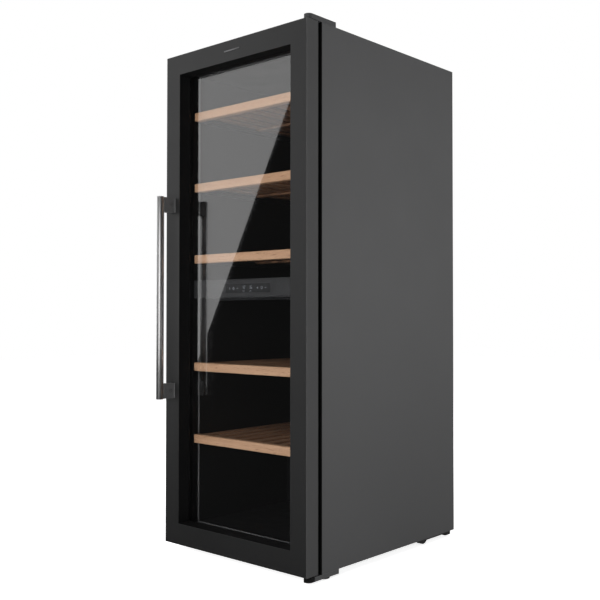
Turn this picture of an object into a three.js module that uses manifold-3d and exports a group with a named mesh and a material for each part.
// Free-standing dual-zone wine cooler with a full-height glass door.
// Millimetres, +Z up, the door faces -Y. The origin is on the floor, under the middle of the whole body.

import * as THREE from 'three';
import { mergeVertices } from 'three/addons/utils/BufferGeometryUtils.js';
import Module from 'manifold-3d';

const wasm = await Module();
wasm.setup();

// ---------------------------------------------------------------- driving dimensions

// clearance that fixed neighbours keep, sheet steel, and the steps in a full circle
const GAP = 0.3;
const SHEET = 1.2;
const ROUND = 32;

// cabinet
const CABINET_WIDTH = 495;
const CABINET_DEPTH = 552;
const CABINET_HEIGHT = 1263;
const CABINET_BOTTOM = 17;
const FRONT_FLANGE = 14.5;

// insulated walls, from the outside of the steel to the inside of the liner
const SIDE_WALL = 46.5;
const CEILING_WALL = 44;
const FLOOR_WALL = 47;
const REAR_WALL = 42;
const LINER = 2.5;
const FRONT_FRAME_THICKNESS = 3;
const FOAM_CLEARANCE = 1;

// compressor compartment at the bottom of the back
const BAY_DEPTH = 162;
const BAY_HEIGHT = 210;
const BAY_INSULATION = 31;

// door: it stands a little inside the height of the cabinet
const DOOR_BELOW_TOP = 1;
const DOOR_ABOVE_BOTTOM = 2;
const DOOR_THICKNESS = 39.4;
const DOOR_GAP = 10.6;
const STILE_WIDTH = 51;
const TOP_RAIL = 50.5;
const BOTTOM_RAIL = 53;
const FRAME_WALL = 3;
const GLASS_BEFORE_BACK = 7.9;
const GLASS_THICKNESS = 3;
const GLASS_SPACE = 4;
const GLASS_LAP = 8;
const GASKET_INSET = 16.5;
const GASKET_WIDTH = 14;

// hinge pins near the right-hand edge of the door
const HINGE_FROM_SIDE = 11;
const HINGE_DEPTH = 18;
const PIN_RADIUS = 4;
const PIN_PLAY = 0.6;
const PIN_LENGTH = 17;
const HINGE_WIDTH = 44.5;
const HINGE_SHOULDER = 32;
const HINGE_COVER_REACH = 51;
const HINGE_COVER_HEIGHT = 12;
const HINGE_COVER_WALL = 2;
const HINGE_PLATE = 3;
const LOWER_HINGE_REACH = 61.5;
const LOWER_HINGE_HEIGHT = 10.7;
const FOOT_HOLE_PLAY = 3;

// bar handle
const HANDLE_FROM_SIDE = 27.5;
const HANDLE_STANDOFF = 42;
const HANDLE_RADIUS = 9.25;
const HANDLE_LENGTH = 519;
const HANDLE_ABOVE_MIDDLE = 1.5;
const MOUNT_WIDTH = 20;
const MOUNT_HEIGHT = 38;
const MOUNT_REACH = 36;
const MOUNT_INSET = 1.5;

// shelves
const SHELF_SETBACK = 0.6;
const SHELF_STRIP_DEPTH = 20;
const SHELF_STRIP_HEIGHT = 22;
const SHELF_SIDE_PLAY = 5;
const SLAT_COUNT = 9;
const SLAT_THICKNESS = 12;
const SLAT_DROP = 2;
const SLAT_RAIL = 22;
const SLAT_FILL = 0.56;
const SLATS_BEFORE_DUCT = 8;
const LEDGE_WIDTH = 16;
const LEDGE_HEIGHT = 8;
const LEDGE_BEHIND_STRIP = 1.5;
const LEDGE_BEFORE_DUCT = 2;
const LOWER_SHELVES = 2;
const UPPER_SHELVES = 3;
const ROOM_UNDER_CEILING = 99.5;
const ROOM_UNDER_DIVIDER = 168;
const SHELF_OVER_DIVIDER = 66.5;
const SHELF_OVER_STEP = 37;

// divider between the two zones, its underside half-way up the liner, with the controls on its front
const DIVIDER_HEIGHT = 46;
const DIVIDER_WALL = 3;
const FASCIA_SETBACK = 4;
const FASCIA_THICKNESS = 4;
const DISPLAY_WIDTH = 158;
const DISPLAY_HEIGHT = 22;
const DISPLAY_DEPTH = 1.6;

// light bar under the ceiling of each zone
const LIGHT_SIDE_ROOM = 51;
const LIGHT_FROM_FRONT = 24;
const LIGHT_DEPTH = 16;
const LIGHT_HEIGHT = 6;

// air duct on the inside back of each zone, with its fan and cooling coil
const DUCT_MARGIN = 4;
const DUCT_SIDE_ROOM = 11;
const DUCT_DEPTH = 58;
const DUCT_WALL = 3;
const VENT_RADIUS = 42;
const VENT_SLOTS = 7;
const VENT_SLOT_FILL = 0.6;
const ZONE_FAN_RADIUS = 39;
const ZONE_FAN_DEPTH = 18;
const ZONE_FAN_BLADES = 5;
const ZONE_FAN_BELOW_TOP = 78;
const ZONE_FAN_BEHIND_COVER = 16;
const COIL_SHARE_OF_DUCT = 0.8;
const COIL_DEPTH = 12;
const COIL_HEIGHT = 240;
const COIL_FINS = 16;
const COIL_PLATE = 3;
const COIL_BEFORE_WALL = 2;
const FIN_THICKNESS = 1.5;

// machinery in the compressor compartment
const COMPRESSOR_RADIUS = 68;
const COMPRESSOR_HEIGHT = 140;
const COMPRESSOR_FROM_SIDE = 129.5;
const RAIL_HEIGHT = 14;
const RAIL_SHEET = 2;
const RAIL_OVERHANG = 20;
const RAIL_DEPTH = 90;
const TRAY_WIDTH = 130;
const TRAY_DEPTH = 110;
const TRAY_HEIGHT = 14;
const TRAY_WALL = 2;
const CONDENSER_FROM_SIDE = 177.5;
const CONDENSER_BEHIND_SHEET = 12;
const CONDENSER_WIDTH = 150;
const CONDENSER_DEPTH = 34;
const CONDENSER_HEIGHT = 150;
const CONDENSER_FINS = 22;
const CONDENSER_PLATE = 4;
const CONDENSER_FAN_RADIUS = 58;
const CONDENSER_FAN_DEPTH = 20;
const CONDENSER_FAN_BLADES = 6;
const SHROUD_DEPTH = 39;
const SHROUD_WALL = 3;
const SHROUD_FAN_PLAY = 3;

// slotted cover over the compartment, and the power inlet in it
const GRILLE_THICKNESS = 1.6;
const GRILLE_MARGIN = 3;
const GRILLE_SIDE_PLAY = 1;
const GRILLE_ROWS = 11;
const GRILLE_COLUMNS = 3;
const GRILLE_BORDER = 14;
const GRILLE_BRIDGE = 12;
const GRILLE_SLOT_FILL = 0.5;
const INLET_WIDTH = 34;
const INLET_HEIGHT = 30;
const INLET_DEPTH = 22;
const INLET_WALL = 4;
const INLET_FROM_SIDE = 46;
const INLET_ABOVE_BOTTOM = 48;
const INLET_SET_IN = 0.2;

// standing gear
const FOOT_RADIUS = 14;
const FOOT_PAD_HEIGHT = 6.3;
const FOOT_COLLAR_RADIUS = 10;
const FOOT_HEIGHT = 9;
const FOOT_STEM_RADIUS = 4;
const FOOT_STEM_ABOVE_BOTTOM = 21;
const FOOT_FROM_SIDE = 19.5;
const FOOT_FROM_FRONT = 30;
const BOSS_SIZE = 26;
const BOSS_HEIGHT = 17;
const ROLLER_RADIUS = 19;
const ROLLER_WIDTH = 20;
const ROLLER_SHOULDER = 2;
const ROLLER_HUB_RADIUS = 10.5;
const ROLLER_AXLE_RADIUS = 3;
const AXLE_PLAY = 0.4;
const ROLLER_FROM_SIDE = 21.5;
const ROLLER_FROM_BACK = 126;
const EAR_SHEET = 1.5;
const WELL_PLAY = 1.5;
const BRACKET_HEAD_ROOM = 4;
const BRACKET_STRIP_DROP = 3.6;
const BRACKET_STRIP_FRONT = 37;
const BRACKET_STRIP_BACK = 109;
const BRACKET_STOP_DROP = 9;
const BRACKET_STOP_LENGTH = 24;

// badge on the door's top rail
const BADGE_WIDTH = 54;
const BADGE_HEIGHT = 8;
const BADGE_THICKNESS = 0.8;

// extra length of a cutting block past the face that it goes through
const PAST = 5;

// ---------------------------------------------------------------- derived positions

// depths are measured back from the door's front face, and heights up from the floor
const HALF_WIDTH = CABINET_WIDTH / 2;
const CABINET_FRONT = DOOR_THICKNESS + DOOR_GAP;
const CABINET_BACK = CABINET_FRONT + CABINET_DEPTH;
const CABINET_TOP = CABINET_BOTTOM + CABINET_HEIGHT;
const LINER_HALF = HALF_WIDTH - SIDE_WALL;
const LINER_FLOOR = CABINET_BOTTOM + FLOOR_WALL;
const LINER_CEILING = CABINET_TOP - CEILING_WALL;
const LINER_BACK = CABINET_BACK - REAR_WALL;
const BAY_FRONT = CABINET_BACK - BAY_DEPTH;
const BAY_TOP = CABINET_BOTTOM + BAY_HEIGHT;
const STEP_FRONT = BAY_FRONT - BAY_INSULATION;
const STEP_TOP = BAY_TOP + BAY_INSULATION;
const RING_FRONT = CABINET_FRONT + GAP;
const RING_BACK = RING_FRONT + FRONT_FRAME_THICKNESS;
const LINER_FRONT = RING_BACK + GAP;

const DOOR_BOTTOM = CABINET_BOTTOM + DOOR_ABOVE_BOTTOM;
const DOOR_TOP = CABINET_TOP - DOOR_BELOW_TOP;
const GLASS_FRONT = DOOR_THICKNESS - GLASS_BEFORE_BACK;
const OPENING_HALF = HALF_WIDTH - STILE_WIDTH;
const OPENING_BOTTOM = DOOR_BOTTOM + BOTTOM_RAIL;
const OPENING_TOP = DOOR_TOP - TOP_RAIL;
const HINGE_X = HALF_WIDTH - HINGE_FROM_SIDE;
const HINGE_COVER_BACK = CABINET_FRONT + HINGE_COVER_REACH;
const LOWER_HINGE_BACK = CABINET_FRONT + LOWER_HINGE_REACH;
const HANDLE_BOTTOM = (DOOR_BOTTOM + DOOR_TOP - HANDLE_LENGTH) / 2 + HANDLE_ABOVE_MIDDLE;

const SHELF_FRONT = CABINET_FRONT + SHELF_SETBACK;
const SHELF_HALF = LINER_HALF - SHELF_SIDE_PLAY;
const SLATS_FRONT = SHELF_FRONT + SHELF_STRIP_DEPTH + GAP;
const DUCT_FRONT = LINER_BACK - DUCT_DEPTH;
const SLATS_BACK = DUCT_FRONT - SLATS_BEFORE_DUCT;
const DUCT_WIDTH = 2 * (LINER_HALF - DUCT_SIDE_ROOM);
const DIVIDER_BOTTOM = (LINER_FLOOR + LINER_CEILING) / 2;
const DIVIDER_TOP = DIVIDER_BOTTOM + DIVIDER_HEIGHT;

// evenly spaced shelf tops in one zone, from the highest to the lowest
function spreadShelves(count, highest, lowest) {
  const tops = [];
  for (let i = 0; i < count; i += 1) {
    tops.push(highest - (i * (highest - lowest)) / (count - 1));
  }
  return tops;
}

const shelfTops = [
  ...spreadShelves(UPPER_SHELVES, LINER_CEILING - ROOM_UNDER_CEILING, DIVIDER_TOP + SHELF_OVER_DIVIDER),
  ...spreadShelves(LOWER_SHELVES, DIVIDER_BOTTOM - ROOM_UNDER_DIVIDER, STEP_TOP + SHELF_OVER_STEP),
];

// ---------------------------------------------------------------- materials

function finish(color, roughness, metalness, extra = {}) {
  return () => new THREE.MeshStandardMaterial({ color, roughness, metalness, ...extra });
}

const glassLook = { transparent: true, opacity: 0.3 };
const blackPaint = finish(0x2b2b2c, 0.45, 0.35);
const doorPaint = finish(0x262627, 0.4, 0.35);
const blackPlastic = finish(0x161616, 0.6, 0);
const greyPlastic = finish(0x3a3a3b, 0.5, 0);
const blackRubber = finish(0x101010, 0.85, 0);
const tintedGlass = finish(0x222426, 0.05, 0, glassLook);
const glossBlack = finish(0x0b0b0c, 0.12, 0);
const beech = finish(0xd0a27c, 0.6, 0);
const brushedSteel = finish(0xb9babb, 0.3, 0.9);
const zincSteel = finish(0x8d9093, 0.4, 0.9);
const aluminium = finish(0xa9acb0, 0.45, 0.8);
const foam = finish(0xe3d9b8, 0.9, 0);
const lamp = finish(0xe8eef2, 0.3, 0);

// ---------------------------------------------------------------- shape helpers

function solidOf(geometry) {
  const bare = geometry.clone();
  bare.deleteAttribute('normal');
  bare.deleteAttribute('uv');
  const merged = mergeVertices(bare, 1e-4);
  const vertProperties = new Float32Array(merged.attributes.position.array);
  const triVerts = new Uint32Array(merged.index.array);
  return new wasm.Manifold(new wasm.Mesh({ numProp: 3, vertProperties, triVerts }));
}

function geometryOf(solid) {
  const mesh = solid.getMesh();
  const geometry = new THREE.BufferGeometry();
  geometry.setAttribute('position', new THREE.BufferAttribute(mesh.vertProperties, 3));
  geometry.setIndex(new THREE.BufferAttribute(mesh.triVerts, 1));
  geometry.computeVertexNormals();
  return geometry;
}

function join(first, ...others) {
  return geometryOf(others.reduce((body, piece) => body.add(solidOf(piece)), solidOf(first)));
}

function cut(body, ...tools) {
  return geometryOf(tools.reduce((rest, tool) => rest.subtract(solidOf(tool)), solidOf(body)));
}

// a box between two corners
function box(x0, x1, y0, y1, z0, z1) {
  const geometry = new THREE.BoxGeometry(x1 - x0, y1 - y0, z1 - z0);
  return geometry.translate((x0 + x1) / 2, (y0 + y1) / 2, (z0 + z1) / 2);
}

function rodAlongZ(radius, z0, z1, x = 0, y = 0, steps = ROUND) {
  const geometry = new THREE.CylinderGeometry(radius, radius, z1 - z0, steps);
  return geometry.rotateX(Math.PI / 2).translate(x, y, (z0 + z1) / 2);
}

function rodAlongX(radius, x0, x1, y = 0, z = 0, steps = ROUND) {
  const geometry = new THREE.CylinderGeometry(radius, radius, x1 - x0, steps);
  return geometry.rotateZ(Math.PI / 2).translate((x0 + x1) / 2, y, z);
}

function rodAlongY(radius, y0, y1, x = 0, z = 0, steps = ROUND) {
  const geometry = new THREE.CylinderGeometry(radius, radius, y1 - y0, steps);
  return geometry.translate(x, (y0 + y1) / 2, z);
}

function shapeFrom(points) {
  return new THREE.Shape(points.map(([a, b]) => new THREE.Vector2(a, b)));
}

function extrude(shape, depth) {
  return new THREE.ExtrudeGeometry(shape, { depth, bevelEnabled: false, curveSegments: 8 });
}

// outline in X and Z, with its thickness from y0 to y1
function plateFacingFront(shape, y0, y1) {
  return extrude(shape, y1 - y0).rotateX(Math.PI / 2).translate(0, y1, 0);
}

// outline in Y and Z, with its width from x0 to x1
function profileAcross(points, x0, x1) {
  const geometry = extrude(shapeFrom(points), x1 - x0);
  const turn = new THREE.Matrix4().makeBasis(
    new THREE.Vector3(0, 1, 0),
    new THREE.Vector3(0, 0, 1),
    new THREE.Vector3(1, 0, 0),
  );
  return geometry.applyMatrix4(turn).translate(x0, 0, 0);
}

// outline in X and Y, with its height from z0 to z1
function plateFlat(shape, z0, z1) {
  return extrude(shape, z1 - z0).translate(0, 0, z0);
}

function rectangle(a0, a1, b0, b1) {
  return [[a0, b0], [a1, b0], [a1, b1], [a0, b1]];
}

// a picture-frame ring facing the front
function frameRing(halfOuter, bottomOuter, topOuter, halfInner, bottomInner, topInner, y0, y1) {
  const shape = shapeFrom(rectangle(-halfOuter, halfOuter, bottomOuter, topOuter));
  const opening = rectangle(-halfInner, halfInner, bottomInner, topInner);
  shape.holes.push(new THREE.Path(opening.map(([a, b]) => new THREE.Vector2(a, b))));
  return plateFacingFront(shape, y0, y1);
}

// a block of upright fins on a back plate, centred on x = 0 and standing on z = 0
function finBlock(width, depth, height, fins, finThickness, plate) {
  const pitch = (width - finThickness) / (fins - 1);
  const points = [[width / 2, depth], [-width / 2, depth]];
  for (let i = 0; i < fins; i += 1) {
    const x = -width / 2 + i * pitch;
    points.push([x, 0], [x + finThickness, 0]);
    if (i < fins - 1) {
      points.push([x + finThickness, depth - plate], [x + pitch, depth - plate]);
    }
  }
  return plateFlat(shapeFrom(points), 0, height);
}

const FAN_HUB_SHARE = 0.36;
const BLADE_ROOT_SHARE = 0.25;
const BLADE_WIDTH_SHARE = 0.62;
const BLADE_THICKNESS = 1.8;
const BLADE_TILT = 32;

// a fan rotor on the Y axis, centred on the origin
function fanRotor(radius, depth, blades) {
  const bladeLength = radius * (1 - BLADE_ROOT_SHARE);
  const pieces = [];
  for (let i = 0; i < blades; i += 1) {
    const blade = new THREE.BoxGeometry(bladeLength, BLADE_THICKNESS, radius * BLADE_WIDTH_SHARE);
    blade.rotateX(THREE.MathUtils.degToRad(BLADE_TILT));
    blade.translate(radius - bladeLength / 2, 0, 0);
    blade.rotateY((i / blades) * Math.PI * 2);
    pieces.push(blade);
  }
  return join(rodAlongY(radius * FAN_HUB_SHARE, -depth / 2, depth / 2, 0, 0, 20), ...pieces);
}

// ---------------------------------------------------------------- scene groups

const cooler = new THREE.Group();
const cabinet = new THREE.Group();
const door = new THREE.Group();
cooler.add(cabinet, door);

function addPart(group, name, geometry, makeMaterial) {
  const mesh = new THREE.Mesh(geometry, makeMaterial());
  mesh.name = name;
  group.add(mesh);
  return mesh;
}

// ---------------------------------------------------------------- outer shell

function sidePanel(side) {
  const outer = side * HALF_WIDTH;
  const inner = side * (HALF_WIDTH - SHEET);
  const flangeEdge = side * (HALF_WIDTH - FRONT_FLANGE);
  const points = [
    [outer, CABINET_FRONT], [outer, CABINET_BACK], [inner, CABINET_BACK],
    [inner, CABINET_FRONT + SHEET], [flangeEdge, CABINET_FRONT + SHEET], [flangeEdge, CABINET_FRONT],
  ];
  return plateFlat(shapeFrom(points), CABINET_BOTTOM, CABINET_TOP);
}

const PANEL_HALF = HALF_WIDTH - SHEET - GAP;
const FLANGE_HALF = HALF_WIDTH - FRONT_FLANGE - GAP;
const BEHIND_FLANGE = CABINET_FRONT + SHEET + GAP;

function topPanel() {
  const sheet = box(-PANEL_HALF, PANEL_HALF, BEHIND_FLANGE, CABINET_BACK, CABINET_TOP - SHEET, CABINET_TOP);
  const flange = box(
    -FLANGE_HALF, FLANGE_HALF, CABINET_FRONT, CABINET_FRONT + SHEET,
    CABINET_TOP - FRONT_FLANGE, CABINET_TOP,
  );
  const bend = box(
    -FLANGE_HALF, FLANGE_HALF, CABINET_FRONT, BEHIND_FLANGE + SHEET,
    CABINET_TOP - SHEET, CABINET_TOP,
  );
  return join(sheet, flange, bend);
}

// folded sheet: back of the cabinet, roof of the compressor bay and its front wall
function rearPanel() {
  const bottom = CABINET_BOTTOM + SHEET + GAP;
  const top = CABINET_TOP - SHEET - GAP;
  const points = [
    [CABINET_BACK, BAY_TOP], [CABINET_BACK, top], [CABINET_BACK - SHEET, top],
    [CABINET_BACK - SHEET, BAY_TOP + SHEET], [BAY_FRONT - SHEET, BAY_TOP + SHEET],
    [BAY_FRONT - SHEET, bottom], [BAY_FRONT, bottom], [BAY_FRONT, BAY_TOP],
  ];
  return profileAcross(points, -PANEL_HALF, PANEL_HALF);
}

const FOOT_X = HALF_WIDTH - FOOT_FROM_SIDE;
const FOOT_Y = CABINET_FRONT + FOOT_FROM_FRONT;
const FOOT_STEM_TOP = CABINET_BOTTOM + FOOT_STEM_ABOVE_BOTTOM;
const BOSS_X = HALF_WIDTH - SHEET - FOAM_CLEARANCE - BOSS_SIZE / 2;
const ROLLER_X = HALF_WIDTH - ROLLER_FROM_SIDE;
const ROLLER_Y = CABINET_BACK - ROLLER_FROM_BACK;
const EAR_INNER = ROLLER_WIDTH / 2 + GAP;
const EAR_OUTER = EAR_INNER + EAR_SHEET;
const WELL_HALF_WIDTH = EAR_OUTER + GAP;
const WELL_HALF_LENGTH = ROLLER_RADIUS + WELL_PLAY;

// sheet floor with a threaded boss over each front foot and a well for each rear roller
function basePlate() {
  const sheet = box(
    -PANEL_HALF, PANEL_HALF, BEHIND_FLANGE, CABINET_BACK, CABINET_BOTTOM, CABINET_BOTTOM + SHEET,
  );
  const flange = box(
    -FLANGE_HALF, FLANGE_HALF, CABINET_FRONT, CABINET_FRONT + SHEET,
    CABINET_BOTTOM, CABINET_BOTTOM + FRONT_FLANGE,
  );
  const bend = box(
    -FLANGE_HALF, FLANGE_HALF, CABINET_FRONT, BEHIND_FLANGE + SHEET,
    CABINET_BOTTOM, CABINET_BOTTOM + SHEET,
  );
  const bosses = [];
  const holes = [];
  for (const side of [-1, 1]) {
    const x = side * BOSS_X;
    bosses.push(box(
      x - BOSS_SIZE / 2, x + BOSS_SIZE / 2, FOOT_Y - BOSS_SIZE / 2, FOOT_Y + BOSS_SIZE / 2,
      CABINET_BOTTOM, CABINET_BOTTOM + BOSS_HEIGHT,
    ));
    holes.push(rodAlongZ(
      FOOT_STEM_RADIUS + PIN_PLAY, 0, FOOT_STEM_TOP + PAST, side * FOOT_X, FOOT_Y, 16,
    ));
    holes.push(box(
      side * ROLLER_X - WELL_HALF_WIDTH, side * ROLLER_X + WELL_HALF_WIDTH,
      ROLLER_Y - WELL_HALF_LENGTH, ROLLER_Y + WELL_HALF_LENGTH, 0, CABINET_BOTTOM + PAST,
    ));
  }
  return cut(join(sheet, flange, bend, ...bosses), ...holes);
}

// side view of the liner, moved outwards by a margin
function linerOutline(margin) {
  return [
    [LINER_FRONT, LINER_FLOOR - margin],
    [STEP_FRONT + margin, LINER_FLOOR - margin],
    [STEP_FRONT + margin, STEP_TOP - margin],
    [LINER_BACK + margin, STEP_TOP - margin],
    [LINER_BACK + margin, LINER_CEILING + margin],
    [LINER_FRONT, LINER_CEILING + margin],
  ];
}

// one poured block that fills the walls round the liner
function insulation() {
  const inset = SHEET + FOAM_CLEARANCE;
  const low = CABINET_BOTTOM + inset;
  const high = CABINET_TOP - inset;
  const half = HALF_WIDTH - inset;
  const back = CABINET_BACK - inset;
  const outside = [
    [LINER_FRONT, low], [BAY_FRONT - inset, low], [BAY_FRONT - inset, BAY_TOP + inset],
    [back, BAY_TOP + inset], [back, high], [LINER_FRONT, high],
  ];
  const hollow = linerOutline(LINER + GAP).map(([y, z]) => (y === LINER_FRONT ? [y - PAST, z] : [y, z]));
  const cavityHalf = LINER_HALF + LINER + GAP;
  const tools = [profileAcross(hollow, -cavityHalf, cavityHalf)];
  const wellHalf = BOSS_SIZE / 2 + FOAM_CLEARANCE;
  const wellTop = Math.max(CABINET_BOTTOM + BOSS_HEIGHT, FOOT_STEM_TOP) + FOAM_CLEARANCE;
  for (const side of [-1, 1]) {
    const x = side * BOSS_X;
    tools.push(box(x - wellHalf, x + wellHalf, FOOT_Y - wellHalf, FOOT_Y + wellHalf, low - PAST, wellTop));
  }
  return cut(profileAcross(outside, -half, half), ...tools);
}

addPart(cabinet, 'side_panel_left', sidePanel(-1), blackPaint);
addPart(cabinet, 'side_panel_right', sidePanel(1), blackPaint);
addPart(cabinet, 'top_panel', topPanel(), blackPaint);
addPart(cabinet, 'rear_panel', rearPanel(), blackPaint);
addPart(cabinet, 'base_plate', basePlate(), blackPaint);
addPart(cabinet, 'insulation_foam', insulation(), foam);

// ---------------------------------------------------------------- liner

const LEDGE_FRONT = SLATS_FRONT + LEDGE_BEHIND_STRIP;
const slatsBottom = (top) => top - SLAT_DROP - SLAT_THICKNESS;

// side wall with a ledge under each shelf
function linerWall(side) {
  const inner = side * LINER_HALF;
  const outer = side * (LINER_HALF + LINER);
  const x0 = Math.min(inner, outer);
  const x1 = Math.max(inner, outer);
  const wall = profileAcross(linerOutline(LINER), x0, x1);
  const ledges = shelfTops.map((top) => {
    const a = side * (LINER_HALF - LEDGE_WIDTH);
    const z1 = slatsBottom(top) - GAP;
    return box(
      Math.min(a, outer), Math.max(a, outer), LEDGE_FRONT, DUCT_FRONT - LEDGE_BEFORE_DUCT,
      z1 - LEDGE_HEIGHT, z1,
    );
  });
  return join(wall, ...ledges);
}

const BETWEEN_WALLS = LINER_HALF - GAP;

// stepped floor that climbs over the compressor bay
function linerFloor() {
  const points = [
    [LINER_FRONT, LINER_FLOOR], [LINER_FRONT, LINER_FLOOR - LINER],
    [STEP_FRONT + LINER, LINER_FLOOR - LINER], [STEP_FRONT + LINER, STEP_TOP - LINER],
    [LINER_BACK - GAP, STEP_TOP - LINER], [LINER_BACK - GAP, STEP_TOP],
    [STEP_FRONT, STEP_TOP], [STEP_FRONT, LINER_FLOOR],
  ];
  return profileAcross(points, -BETWEEN_WALLS, BETWEEN_WALLS);
}

function linerRearWall() {
  return box(
    -BETWEEN_WALLS, BETWEEN_WALLS, LINER_BACK, LINER_BACK + LINER,
    STEP_TOP - LINER, LINER_CEILING - GAP,
  );
}

function linerCeiling() {
  return box(
    -BETWEEN_WALLS, BETWEEN_WALLS, LINER_FRONT, LINER_BACK + LINER,
    LINER_CEILING, LINER_CEILING + LINER,
  );
}

// plastic ring that bridges the steel front edge and the liner
function frontFrame() {
  return frameRing(
    FLANGE_HALF, CABINET_BOTTOM + FRONT_FLANGE + GAP, CABINET_TOP - FRONT_FLANGE - GAP,
    LINER_HALF, LINER_FLOOR, LINER_CEILING, RING_FRONT, RING_BACK,
  );
}

addPart(cabinet, 'liner_wall_left', linerWall(-1), blackPlastic);
addPart(cabinet, 'liner_wall_right', linerWall(1), blackPlastic);
addPart(cabinet, 'liner_ceiling', linerCeiling(), blackPlastic);
addPart(cabinet, 'liner_rear_wall', linerRearWall(), blackPlastic);
addPart(cabinet, 'liner_floor', linerFloor(), blackPlastic);
addPart(cabinet, 'front_frame', frontFrame(), blackPlastic);

// ---------------------------------------------------------------- zone divider and controls

const DIVIDER_HALF = BETWEEN_WALLS - GAP;
const FASCIA_FRONT = CABINET_FRONT + FASCIA_SETBACK;
const DIVIDER_FRONT = FASCIA_FRONT + FASCIA_THICKNESS + GAP;

// hollow divider, open towards the back wall
function zoneDivider() {
  const body = box(
    -DIVIDER_HALF, DIVIDER_HALF, DIVIDER_FRONT, LINER_BACK - GAP, DIVIDER_BOTTOM, DIVIDER_TOP,
  );
  const hollow = box(
    -DIVIDER_HALF + DIVIDER_WALL, DIVIDER_HALF - DIVIDER_WALL, DIVIDER_FRONT + DIVIDER_WALL,
    LINER_BACK + PAST, DIVIDER_BOTTOM + DIVIDER_WALL, DIVIDER_TOP - DIVIDER_WALL,
  );
  return cut(body, hollow);
}

const DISPLAY_Z = (DIVIDER_BOTTOM + DIVIDER_TOP) / 2;

function displayBox(margin, y0, y1) {
  const half = DISPLAY_WIDTH / 2 + margin;
  const halfHeight = DISPLAY_HEIGHT / 2 + margin;
  return box(-half, half, y0, y1, DISPLAY_Z - halfHeight, DISPLAY_Z + halfHeight);
}

function controlPanel() {
  const plate = box(
    -DIVIDER_HALF, DIVIDER_HALF, FASCIA_FRONT, FASCIA_FRONT + FASCIA_THICKNESS,
    DIVIDER_BOTTOM, DIVIDER_TOP,
  );
  return cut(plate, displayBox(GAP, FASCIA_FRONT - PAST, FASCIA_FRONT + DISPLAY_DEPTH + GAP));
}

addPart(cabinet, 'zone_divider', zoneDivider(), blackPlastic);
addPart(cabinet, 'control_panel', controlPanel(), greyPlastic);
addPart(cabinet, 'display_window', displayBox(0, FASCIA_FRONT, FASCIA_FRONT + DISPLAY_DEPTH), glossBlack);

// ---------------------------------------------------------------- lights, ducts and cooling in each zone

function lightBar(top) {
  const half = LINER_HALF - LIGHT_SIDE_ROOM;
  const front = CABINET_FRONT + LIGHT_FROM_FRONT;
  return box(-half, half, front, front + LIGHT_DEPTH, top - LIGHT_HEIGHT, top - GAP);
}

addPart(cabinet, 'light_upper', lightBar(LINER_CEILING), lamp);
addPart(cabinet, 'light_lower', lightBar(DIVIDER_BOTTOM), lamp);

// duct box with an open back and rows of slots that fill a circle in front of the fan
function ductCover(bottom, top, fanZ) {
  const half = DUCT_WIDTH / 2;
  const body = box(-half, half, DUCT_FRONT, LINER_BACK - GAP, bottom, top);
  const hollow = box(
    -half + DUCT_WALL, half - DUCT_WALL, DUCT_FRONT + DUCT_WALL, LINER_BACK + PAST,
    bottom + DUCT_WALL, top - DUCT_WALL,
  );
  const slots = [];
  const pitch = (2 * VENT_RADIUS) / VENT_SLOTS;
  const halfSlot = (pitch * VENT_SLOT_FILL) / 2;
  for (let i = 0; i < VENT_SLOTS; i += 1) {
    const z = fanZ - VENT_RADIUS + (i + 0.5) * pitch;
    const chord = Math.sqrt(VENT_RADIUS ** 2 - (z - fanZ) ** 2);
    slots.push(box(
      -chord, chord, DUCT_FRONT - PAST, DUCT_FRONT + DUCT_WALL + PAST, z - halfSlot, z + halfSlot,
    ));
  }
  return cut(body, hollow, ...slots);
}

function addZone(name, bottom, top) {
  const fanZ = top - ZONE_FAN_BELOW_TOP;
  addPart(cabinet, `duct_cover_${name}`, ductCover(bottom, top, fanZ), blackPlastic);

  const fins = finBlock(
    DUCT_WIDTH * COIL_SHARE_OF_DUCT, COIL_DEPTH, COIL_HEIGHT, COIL_FINS, FIN_THICKNESS, COIL_PLATE,
  );
  const coil = addPart(cabinet, `evaporator_${name}`, fins, aluminium);
  coil.position.set(0, LINER_BACK - COIL_DEPTH - COIL_BEFORE_WALL, (bottom + top - COIL_HEIGHT) / 2);

  const blades = fanRotor(ZONE_FAN_RADIUS, ZONE_FAN_DEPTH, ZONE_FAN_BLADES);
  const rotor = addPart(cabinet, `zone_fan_${name}`, blades, blackPlastic);
  rotor.position.set(0, DUCT_FRONT + DUCT_WALL + ZONE_FAN_BEHIND_COVER, fanZ);
}

addZone('upper', DIVIDER_TOP + DUCT_MARGIN, LINER_CEILING - DUCT_MARGIN);
addZone('lower', STEP_TOP + DUCT_MARGIN, DIVIDER_BOTTOM - DUCT_MARGIN);

// ---------------------------------------------------------------- compressor bay

const BAY_FLOOR = CABINET_BOTTOM + SHEET + GAP;
const BAY_MIDDLE = (BAY_FRONT + CABINET_BACK) / 2;
const COMPRESSOR_X = -HALF_WIDTH + COMPRESSOR_FROM_SIDE;
const CONDENSER_X = HALF_WIDTH - CONDENSER_FROM_SIDE;
const CONDENSER_Y = BAY_FRONT + CONDENSER_BEHIND_SHEET;

// channel that carries the compressor
function compressorRail() {
  const outer = COMPRESSOR_RADIUS + RAIL_OVERHANG;
  const inner = outer - RAIL_SHEET;
  const roof = RAIL_HEIGHT - RAIL_SHEET;
  const points = [[-outer, 0], [-outer, RAIL_HEIGHT], [outer, RAIL_HEIGHT], [outer, 0],
    [inner, 0], [inner, roof], [-inner, roof], [-inner, 0]];
  return plateFacingFront(shapeFrom(points), -RAIL_DEPTH / 2, RAIL_DEPTH / 2);
}

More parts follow.
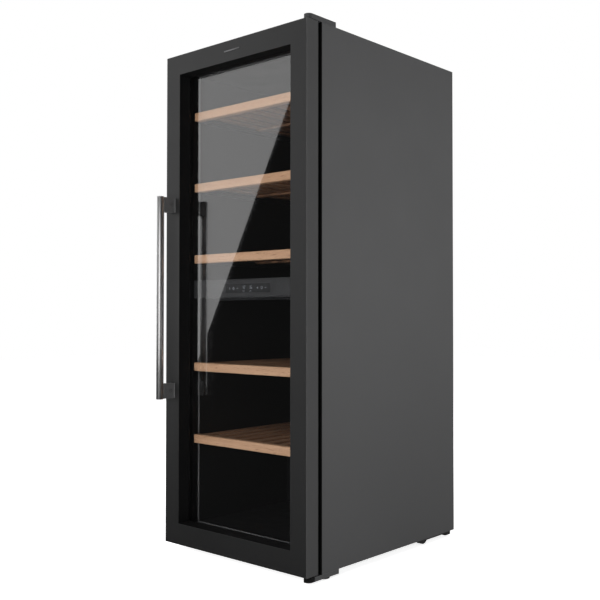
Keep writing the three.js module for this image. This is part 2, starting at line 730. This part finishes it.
// domed steel shell with its welded rim
function compressorShell() {
  const r = COMPRESSOR_RADIUS;
  const h = COMPRESSOR_HEIGHT;
  const points = [[0, 0], [r * 0.62, 0], [r * 0.9, h * 0.12], [r * 0.96, h * 0.3], [r * 0.96, h * 0.5],
    [r, h * 0.5], [r, h * 0.55], [r * 0.96, h * 0.55], [r * 0.9, h * 0.76], [r * 0.66, h * 0.93],
    [r * 0.34, h * 0.99], [0, h]];
  const geometry = new THREE.LatheGeometry(points.map(([a, b]) => new THREE.Vector2(a, b)), 24);
  return join(geometry.rotateX(Math.PI / 2));
}

function openTray(width, depth, height, wall) {
  const body = box(-width / 2, width / 2, -depth / 2, depth / 2, 0, height);
  const hollow = box(
    -width / 2 + wall, width / 2 - wall, -depth / 2 + wall, depth / 2 - wall, wall, height + PAST,
  );
  return cut(body, hollow);
}

// box round the fan, open towards the condenser and with a round hole at the back
function condenserShroud() {
  const half = CONDENSER_WIDTH / 2;
  const body = box(-half, half, 0, SHROUD_DEPTH, 0, CONDENSER_HEIGHT);
  const hole = rodAlongY(
    CONDENSER_FAN_RADIUS + SHROUD_FAN_PLAY, SHROUD_WALL, SHROUD_DEPTH + PAST, 0, CONDENSER_HEIGHT / 2,
  );
  const inside = box(
    -half + SHROUD_WALL, half - SHROUD_WALL, -PAST, SHROUD_DEPTH - SHROUD_WALL,
    SHROUD_WALL, CONDENSER_HEIGHT - SHROUD_WALL,
  );
  return cut(body, hole, inside);
}

const INLET_X = -HALF_WIDTH + INLET_FROM_SIDE;
const INLET_Z = CABINET_BOTTOM + INLET_ABOVE_BOTTOM;

// slotted cover over the back of the bay, with a window for the power inlet
function bayGrille() {
  const half = PANEL_HALF - GRILLE_SIDE_PLAY;
  const low = CABINET_BOTTOM + SHEET + GRILLE_MARGIN;
  const high = BAY_TOP - GRILLE_MARGIN;
  const front = CABINET_BACK - GRILLE_THICKNESS;
  const through = (x0, x1, z0, z1) => box(x0, x1, front - PAST, CABINET_BACK + PAST, z0, z1);
  const holes = [through(
    INLET_X - INLET_WIDTH / 2 - GAP, INLET_X + INLET_WIDTH / 2 + GAP,
    INLET_Z - INLET_HEIGHT / 2 - GAP, INLET_Z + INLET_HEIGHT / 2 + GAP,
  )];
  const left = INLET_X + INLET_WIDTH / 2 + GRILLE_BORDER;
  const pitchX = (half - GRILLE_BORDER - left) / GRILLE_COLUMNS;
  const pitchZ = (high - low - 2 * GRILLE_BORDER) / GRILLE_ROWS;
  const halfSlot = (pitchZ * GRILLE_SLOT_FILL) / 2;
  for (let column = 0; column < GRILLE_COLUMNS; column += 1) {
    for (let row = 0; row < GRILLE_ROWS; row += 1) {
      const x = left + column * pitchX;
      const z = low + GRILLE_BORDER + (row + 0.5) * pitchZ;
      holes.push(through(x, x + pitchX - GRILLE_BRIDGE, z - halfSlot, z + halfSlot));
    }
  }
  return cut(box(-half, half, front, CABINET_BACK, low, high), ...holes);
}

// recessed socket that the supply lead plugs into
function powerInlet() {
  const back = CABINET_BACK - INLET_SET_IN;
  const body = box(
    INLET_X - INLET_WIDTH / 2, INLET_X + INLET_WIDTH / 2, back - INLET_DEPTH, back,
    INLET_Z - INLET_HEIGHT / 2, INLET_Z + INLET_HEIGHT / 2,
  );
  const pocket = box(
    INLET_X - INLET_WIDTH / 2 + INLET_WALL, INLET_X + INLET_WIDTH / 2 - INLET_WALL,
    back - INLET_DEPTH + INLET_WALL, back + PAST,
    INLET_Z - INLET_HEIGHT / 2 + INLET_WALL, INLET_Z + INLET_HEIGHT / 2 - INLET_WALL,
  );
  return cut(body, pocket);
}

const rail = addPart(cabinet, 'compressor_rail', compressorRail(), blackPaint);
rail.position.set(COMPRESSOR_X, BAY_MIDDLE, BAY_FLOOR);

const compressor = addPart(cabinet, 'compressor', compressorShell(), blackPaint);
compressor.position.set(COMPRESSOR_X, BAY_MIDDLE, BAY_FLOOR + RAIL_HEIGHT + GAP);

const trayShape = openTray(TRAY_WIDTH, TRAY_DEPTH, TRAY_HEIGHT, TRAY_WALL);
const tray = addPart(cabinet, 'drip_tray', trayShape, blackPlastic);
tray.position.set(COMPRESSOR_X, BAY_MIDDLE, BAY_FLOOR + RAIL_HEIGHT + COMPRESSOR_HEIGHT + 2 * GAP);

const condenserShape = finBlock(
  CONDENSER_WIDTH, CONDENSER_DEPTH, CONDENSER_HEIGHT, CONDENSER_FINS, FIN_THICKNESS, CONDENSER_PLATE,
);
const condenser = addPart(cabinet, 'condenser', condenserShape, aluminium);
condenser.position.set(CONDENSER_X, CONDENSER_Y, BAY_FLOOR);

const SHROUD_Y = CONDENSER_Y + CONDENSER_DEPTH + GAP;
const shroud = addPart(cabinet, 'condenser_shroud', condenserShroud(), blackPlastic);
shroud.position.set(CONDENSER_X, SHROUD_Y, BAY_FLOOR);

const bayFanShape = fanRotor(CONDENSER_FAN_RADIUS, CONDENSER_FAN_DEPTH, CONDENSER_FAN_BLADES);
const bayFan = addPart(cabinet, 'condenser_fan', bayFanShape, blackPlastic);
bayFan.position.set(CONDENSER_X, SHROUD_Y + SHROUD_DEPTH / 2 + SHROUD_WALL, BAY_FLOOR + CONDENSER_HEIGHT / 2);

addPart(cabinet, 'bay_grille', bayGrille(), blackPaint);
addPart(cabinet, 'power_inlet', powerInlet(), blackPlastic);

// ---------------------------------------------------------------- hinges

// plan of a hinge: a round nose over the pin, flush with the side of the cabinet
function hingeOutline(back, inset) {
  const right = HALF_WIDTH - inset;
  const left = HALF_WIDTH - HINGE_WIDTH + inset;
  const nose = HINGE_FROM_SIDE - inset;
  const shape = new THREE.Shape();
  shape.moveTo(right, back - inset);
  shape.lineTo(left, back - inset);
  shape.lineTo(left, HINGE_DEPTH + HINGE_SHOULDER);
  shape.lineTo(HINGE_X - nose, HINGE_DEPTH);
  shape.absarc(HINGE_X, HINGE_DEPTH, nose, Math.PI, Math.PI * 2, false);
  shape.lineTo(right, back - inset);
  return shape;
}

function upperHinge() {
  const low = CABINET_TOP + GAP;
  const plate = plateFlat(hingeOutline(HINGE_COVER_BACK, HINGE_COVER_WALL + GAP), low, low + HINGE_PLATE);
  return join(plate, rodAlongZ(PIN_RADIUS, DOOR_TOP - PIN_LENGTH, low + 1, HINGE_X, HINGE_DEPTH, 16));
}

function hingeCover() {
  const low = CABINET_TOP + GAP;
  const high = CABINET_TOP + HINGE_COVER_HEIGHT;
  const body = plateFlat(hingeOutline(HINGE_COVER_BACK, 0), low, high);
  const hollow = plateFlat(
    hingeOutline(HINGE_COVER_BACK, HINGE_COVER_WALL), low - PAST, high - HINGE_COVER_WALL,
  );
  return cut(body, hollow);
}

function lowerHinge() {
  const high = CABINET_BOTTOM - GAP;
  const low = high - LOWER_HINGE_HEIGHT;
  const body = plateFlat(hingeOutline(LOWER_HINGE_BACK, 0), low, high);
  const hollow = plateFlat(hingeOutline(LOWER_HINGE_BACK, HINGE_COVER_WALL), low - PAST, high - HINGE_PLATE);
  const pin = rodAlongZ(PIN_RADIUS, high - 1, DOOR_BOTTOM + PIN_LENGTH, HINGE_X, HINGE_DEPTH, 16);
  const footHole = rodAlongZ(
    FOOT_STEM_RADIUS + FOOT_HOLE_PLAY, low - PAST, high + PAST, FOOT_X, FOOT_Y, 16,
  );
  return cut(join(cut(body, hollow), pin), footHole);
}

addPart(cabinet, 'hinge_bracket_upper', upperHinge(), zincSteel);
addPart(cabinet, 'hinge_cover_upper', hingeCover(), greyPlastic);
addPart(cabinet, 'hinge_bracket_lower', lowerHinge(), blackPaint);

// ---------------------------------------------------------------- feet and rollers

function levellingFoot() {
  const pad = rodAlongZ(FOOT_RADIUS, 0, FOOT_PAD_HEIGHT, 0, 0, 24);
  const collar = rodAlongZ(FOOT_COLLAR_RADIUS, FOOT_PAD_HEIGHT / 2, FOOT_HEIGHT, 0, 0, 24);
  return join(pad, collar, rodAlongZ(FOOT_STEM_RADIUS, FOOT_PAD_HEIGHT / 2, FOOT_STEM_TOP, 0, 0, 16));
}

// wheel with its own axle stubs, turning on the X axis
function roller() {
  const half = ROLLER_WIDTH / 2;
  const hub = rodAlongX(ROLLER_HUB_RADIUS, -half, half);
  const tread = rodAlongX(ROLLER_RADIUS, -half + ROLLER_SHOULDER, half - ROLLER_SHOULDER);
  return join(tread, hub, rodAlongX(ROLLER_AXLE_RADIUS, -EAR_OUTER, EAR_OUTER, 0, 0, 16));
}

const BRACKET_TOP = ROLLER_RADIUS * 2 + BRACKET_HEAD_ROOM;
const BRACKET_HALF = ROLLER_RADIUS - 1;

// two ears round the wheel, with a strip under the base plate that runs back to a stop
function rollerBracket(side) {
  const ears = [];
  for (const ear of [-1, 1]) {
    const a = ear * EAR_INNER;
    const b = ear * EAR_OUTER;
    ears.push(box(
      Math.min(a, b), Math.max(a, b), -BRACKET_HALF, BRACKET_HALF,
      CABINET_BOTTOM - BRACKET_STRIP_DROP, BRACKET_TOP,
    ));
  }
  const roof = box(
    -EAR_OUTER, EAR_OUTER, -BRACKET_HALF, BRACKET_HALF, BRACKET_TOP - EAR_SHEET, BRACKET_TOP,
  );
  const a = side * EAR_INNER;
  const b = side * (ROLLER_FROM_SIDE - 1);
  const x0 = Math.min(a, b);
  const x1 = Math.max(a, b);
  const strip = box(
    x0, x1, -BRACKET_STRIP_FRONT, BRACKET_STRIP_BACK,
    CABINET_BOTTOM - BRACKET_STRIP_DROP, CABINET_BOTTOM - GAP,
  );
  const stop = box(
    x0, x1, BRACKET_STRIP_BACK - BRACKET_STOP_LENGTH, BRACKET_STRIP_BACK,
    CABINET_BOTTOM - BRACKET_STOP_DROP, CABINET_BOTTOM - GAP,
  );
  const bore = rodAlongX(
    ROLLER_AXLE_RADIUS + AXLE_PLAY, -EAR_OUTER - PAST, EAR_OUTER + PAST, 0, ROLLER_RADIUS, 16,
  );
  return cut(join(ears[0], ears[1], roof, strip, stop), bore);
}

for (const [name, side] of [['left', -1], ['right', 1]]) {
  const foot = addPart(cabinet, `levelling_foot_${name}`, levellingFoot(), blackRubber);
  foot.position.set(side * FOOT_X, FOOT_Y, 0);

  const bracket = addPart(cabinet, `roller_bracket_${name}`, rollerBracket(side), blackPaint);
  bracket.position.set(side * ROLLER_X, ROLLER_Y, 0);

  const wheel = addPart(cabinet, `rear_roller_${name}`, roller(), blackRubber);
  wheel.position.set(side * ROLLER_X, ROLLER_Y, ROLLER_RADIUS);
}

// ---------------------------------------------------------------- door

const CHANNEL_OUTER = HALF_WIDTH - FRAME_WALL;
const CHANNEL_INNER = OPENING_HALF + FRAME_WALL;

// painted frame: a channel, open at the back, all round the glass
function doorFrame() {
  const outline = frameRing(
    HALF_WIDTH, DOOR_BOTTOM, DOOR_TOP, OPENING_HALF, OPENING_BOTTOM, OPENING_TOP, 0, DOOR_THICKNESS,
  );
  const channel = frameRing(
    CHANNEL_OUTER, DOOR_BOTTOM + FRAME_WALL, DOOR_TOP - FRAME_WALL,
    CHANNEL_INNER, OPENING_BOTTOM - FRAME_WALL, OPENING_TOP + FRAME_WALL,
    FRAME_WALL, DOOR_THICKNESS + PAST,
  );
  const rebate = frameRing(
    CHANNEL_OUTER, DOOR_BOTTOM + FRAME_WALL, DOOR_TOP - FRAME_WALL,
    OPENING_HALF - PAST, OPENING_BOTTOM + PAST, OPENING_TOP - PAST,
    GLASS_FRONT - GAP, DOOR_THICKNESS + PAST,
  );
  const pinHoles = rodAlongZ(
    PIN_RADIUS + PIN_PLAY, DOOR_BOTTOM - PAST, DOOR_TOP + PAST, HINGE_X, HINGE_DEPTH, 16,
  );
  return cut(outline, channel, rebate, pinHoles);
}

const GLASS_HALF = OPENING_HALF + GLASS_LAP;
const GLASS_BOTTOM = OPENING_BOTTOM - GLASS_LAP;
const GLASS_TOP = OPENING_TOP + GLASS_LAP;
const SPACER_FRONT = GLASS_FRONT + GLASS_THICKNESS + GAP;
const SPACER_BACK = SPACER_FRONT + GLASS_SPACE - 2 * GAP;
const INNER_GLASS_FRONT = SPACER_BACK + GAP;

function doorInnerFrame() {
  return frameRing(
    CHANNEL_OUTER - GAP, DOOR_BOTTOM + FRAME_WALL + GAP, DOOR_TOP - FRAME_WALL - GAP,
    GLASS_HALF + GAP, GLASS_BOTTOM - GAP, GLASS_TOP + GAP, GLASS_FRONT, DOOR_THICKNESS,
  );
}

function glassPane(front) {
  return box(-GLASS_HALF, GLASS_HALF, front, front + GLASS_THICKNESS, GLASS_BOTTOM, GLASS_TOP);
}

function glassSpacer() {
  return frameRing(
    GLASS_HALF, GLASS_BOTTOM, GLASS_TOP, OPENING_HALF, OPENING_BOTTOM, OPENING_TOP,
    SPACER_FRONT, SPACER_BACK,
  );
}

function doorGasket() {
  const half = HALF_WIDTH - GASKET_INSET;
  const low = DOOR_BOTTOM + GASKET_INSET;
  const high = DOOR_TOP - GASKET_INSET;
  return frameRing(
    half, low, high, half - GASKET_WIDTH, low + GASKET_WIDTH, high - GASKET_WIDTH,
    DOOR_THICKNESS + GAP, CABINET_FRONT - GAP,
  );
}

addPart(door, 'door_frame', doorFrame(), doorPaint);
addPart(door, 'door_inner_frame', doorInnerFrame(), blackPlastic);
addPart(door, 'glass_outer', glassPane(GLASS_FRONT), tintedGlass);
addPart(door, 'glass_spacer', glassSpacer(), blackPlastic);
addPart(door, 'glass_inner', glassPane(INNER_GLASS_FRONT), tintedGlass);
addPart(door, 'door_gasket', doorGasket(), blackRubber);

// handle: built round its own upright axis, then stood off from the door
const handle = new THREE.Group();
handle.position.set(-HALF_WIDTH + HANDLE_FROM_SIDE, -HANDLE_STANDOFF, HANDLE_BOTTOM);
door.add(handle);

function handleMount() {
  const block = box(
    -MOUNT_WIDTH / 2, MOUNT_WIDTH / 2, HANDLE_STANDOFF - MOUNT_REACH, HANDLE_STANDOFF - GAP,
    -MOUNT_HEIGHT / 2, MOUNT_HEIGHT / 2,
  );
  return cut(block, rodAlongZ(HANDLE_RADIUS + GAP, -MOUNT_HEIGHT, MOUNT_HEIGHT));
}

addPart(handle, 'handle_bar', rodAlongZ(HANDLE_RADIUS, 0, HANDLE_LENGTH), brushedSteel);
const lowerMount = addPart(handle, 'handle_mount_lower', handleMount(), greyPlastic);
lowerMount.position.z = MOUNT_INSET + MOUNT_HEIGHT / 2;
const upperMount = addPart(handle, 'handle_mount_upper', handleMount(), greyPlastic);
upperMount.position.z = HANDLE_LENGTH - MOUNT_INSET - MOUNT_HEIGHT / 2;

const BADGE_BOTTOM = DOOR_TOP - (TOP_RAIL + BADGE_HEIGHT) / 2;
addPart(door, 'badge', box(
  -BADGE_WIDTH / 2, BADGE_WIDTH / 2, -GAP - BADGE_THICKNESS, -GAP, BADGE_BOTTOM, BADGE_BOTTOM + BADGE_HEIGHT,
), greyPlastic);

// ---------------------------------------------------------------- shelves

// open deck of slats that run from front to back between two cross rails
function slatDeck() {
  const low = -SLAT_DROP - SLAT_THICKNESS;
  const gaps = [];
  const pitch = (2 * SHELF_HALF - SLAT_RAIL) / (SLAT_COUNT - 1);
  const slatWidth = pitch * SLAT_FILL;
  const middle = (slat) => -SHELF_HALF + SLAT_RAIL / 2 + slat * pitch;
  const lastGap = SLAT_COUNT - 2;
  for (let i = 0; i <= lastGap; i += 1) {
    const left = i === 0 ? -SHELF_HALF + SLAT_RAIL : middle(i) + slatWidth / 2;
    const right = i === lastGap ? SHELF_HALF - SLAT_RAIL : middle(i + 1) - slatWidth / 2;
    gaps.push(box(left, right, SLATS_FRONT + SLAT_RAIL, SLATS_BACK - SLAT_RAIL, low - PAST, PAST));
  }
  return cut(box(-SHELF_HALF, SHELF_HALF, SLATS_FRONT, SLATS_BACK, low, -SLAT_DROP), ...gaps);
}

// each shelf is a group whose origin lies at the height of its top edge
shelfTops.forEach((top, index) => {
  const shelf = new THREE.Group();
  shelf.position.z = top;
  cooler.add(shelf);
  const strip = box(
    -SHELF_HALF, SHELF_HALF, SHELF_FRONT, SHELF_FRONT + SHELF_STRIP_DEPTH, -SHELF_STRIP_HEIGHT, 0,
  );
  addPart(shelf, `shelf_${index + 1}_front`, strip, beech);
  addPart(shelf, `shelf_${index + 1}_slats`, slatDeck(), beech);
});

// the handle is the foremost point and the cabinet's back the rearmost
const MIDDLE_Y = (CABINET_BACK - HANDLE_STANDOFF - HANDLE_RADIUS) / 2;
cooler.position.y = -MIDDLE_Y;

export default cooler;
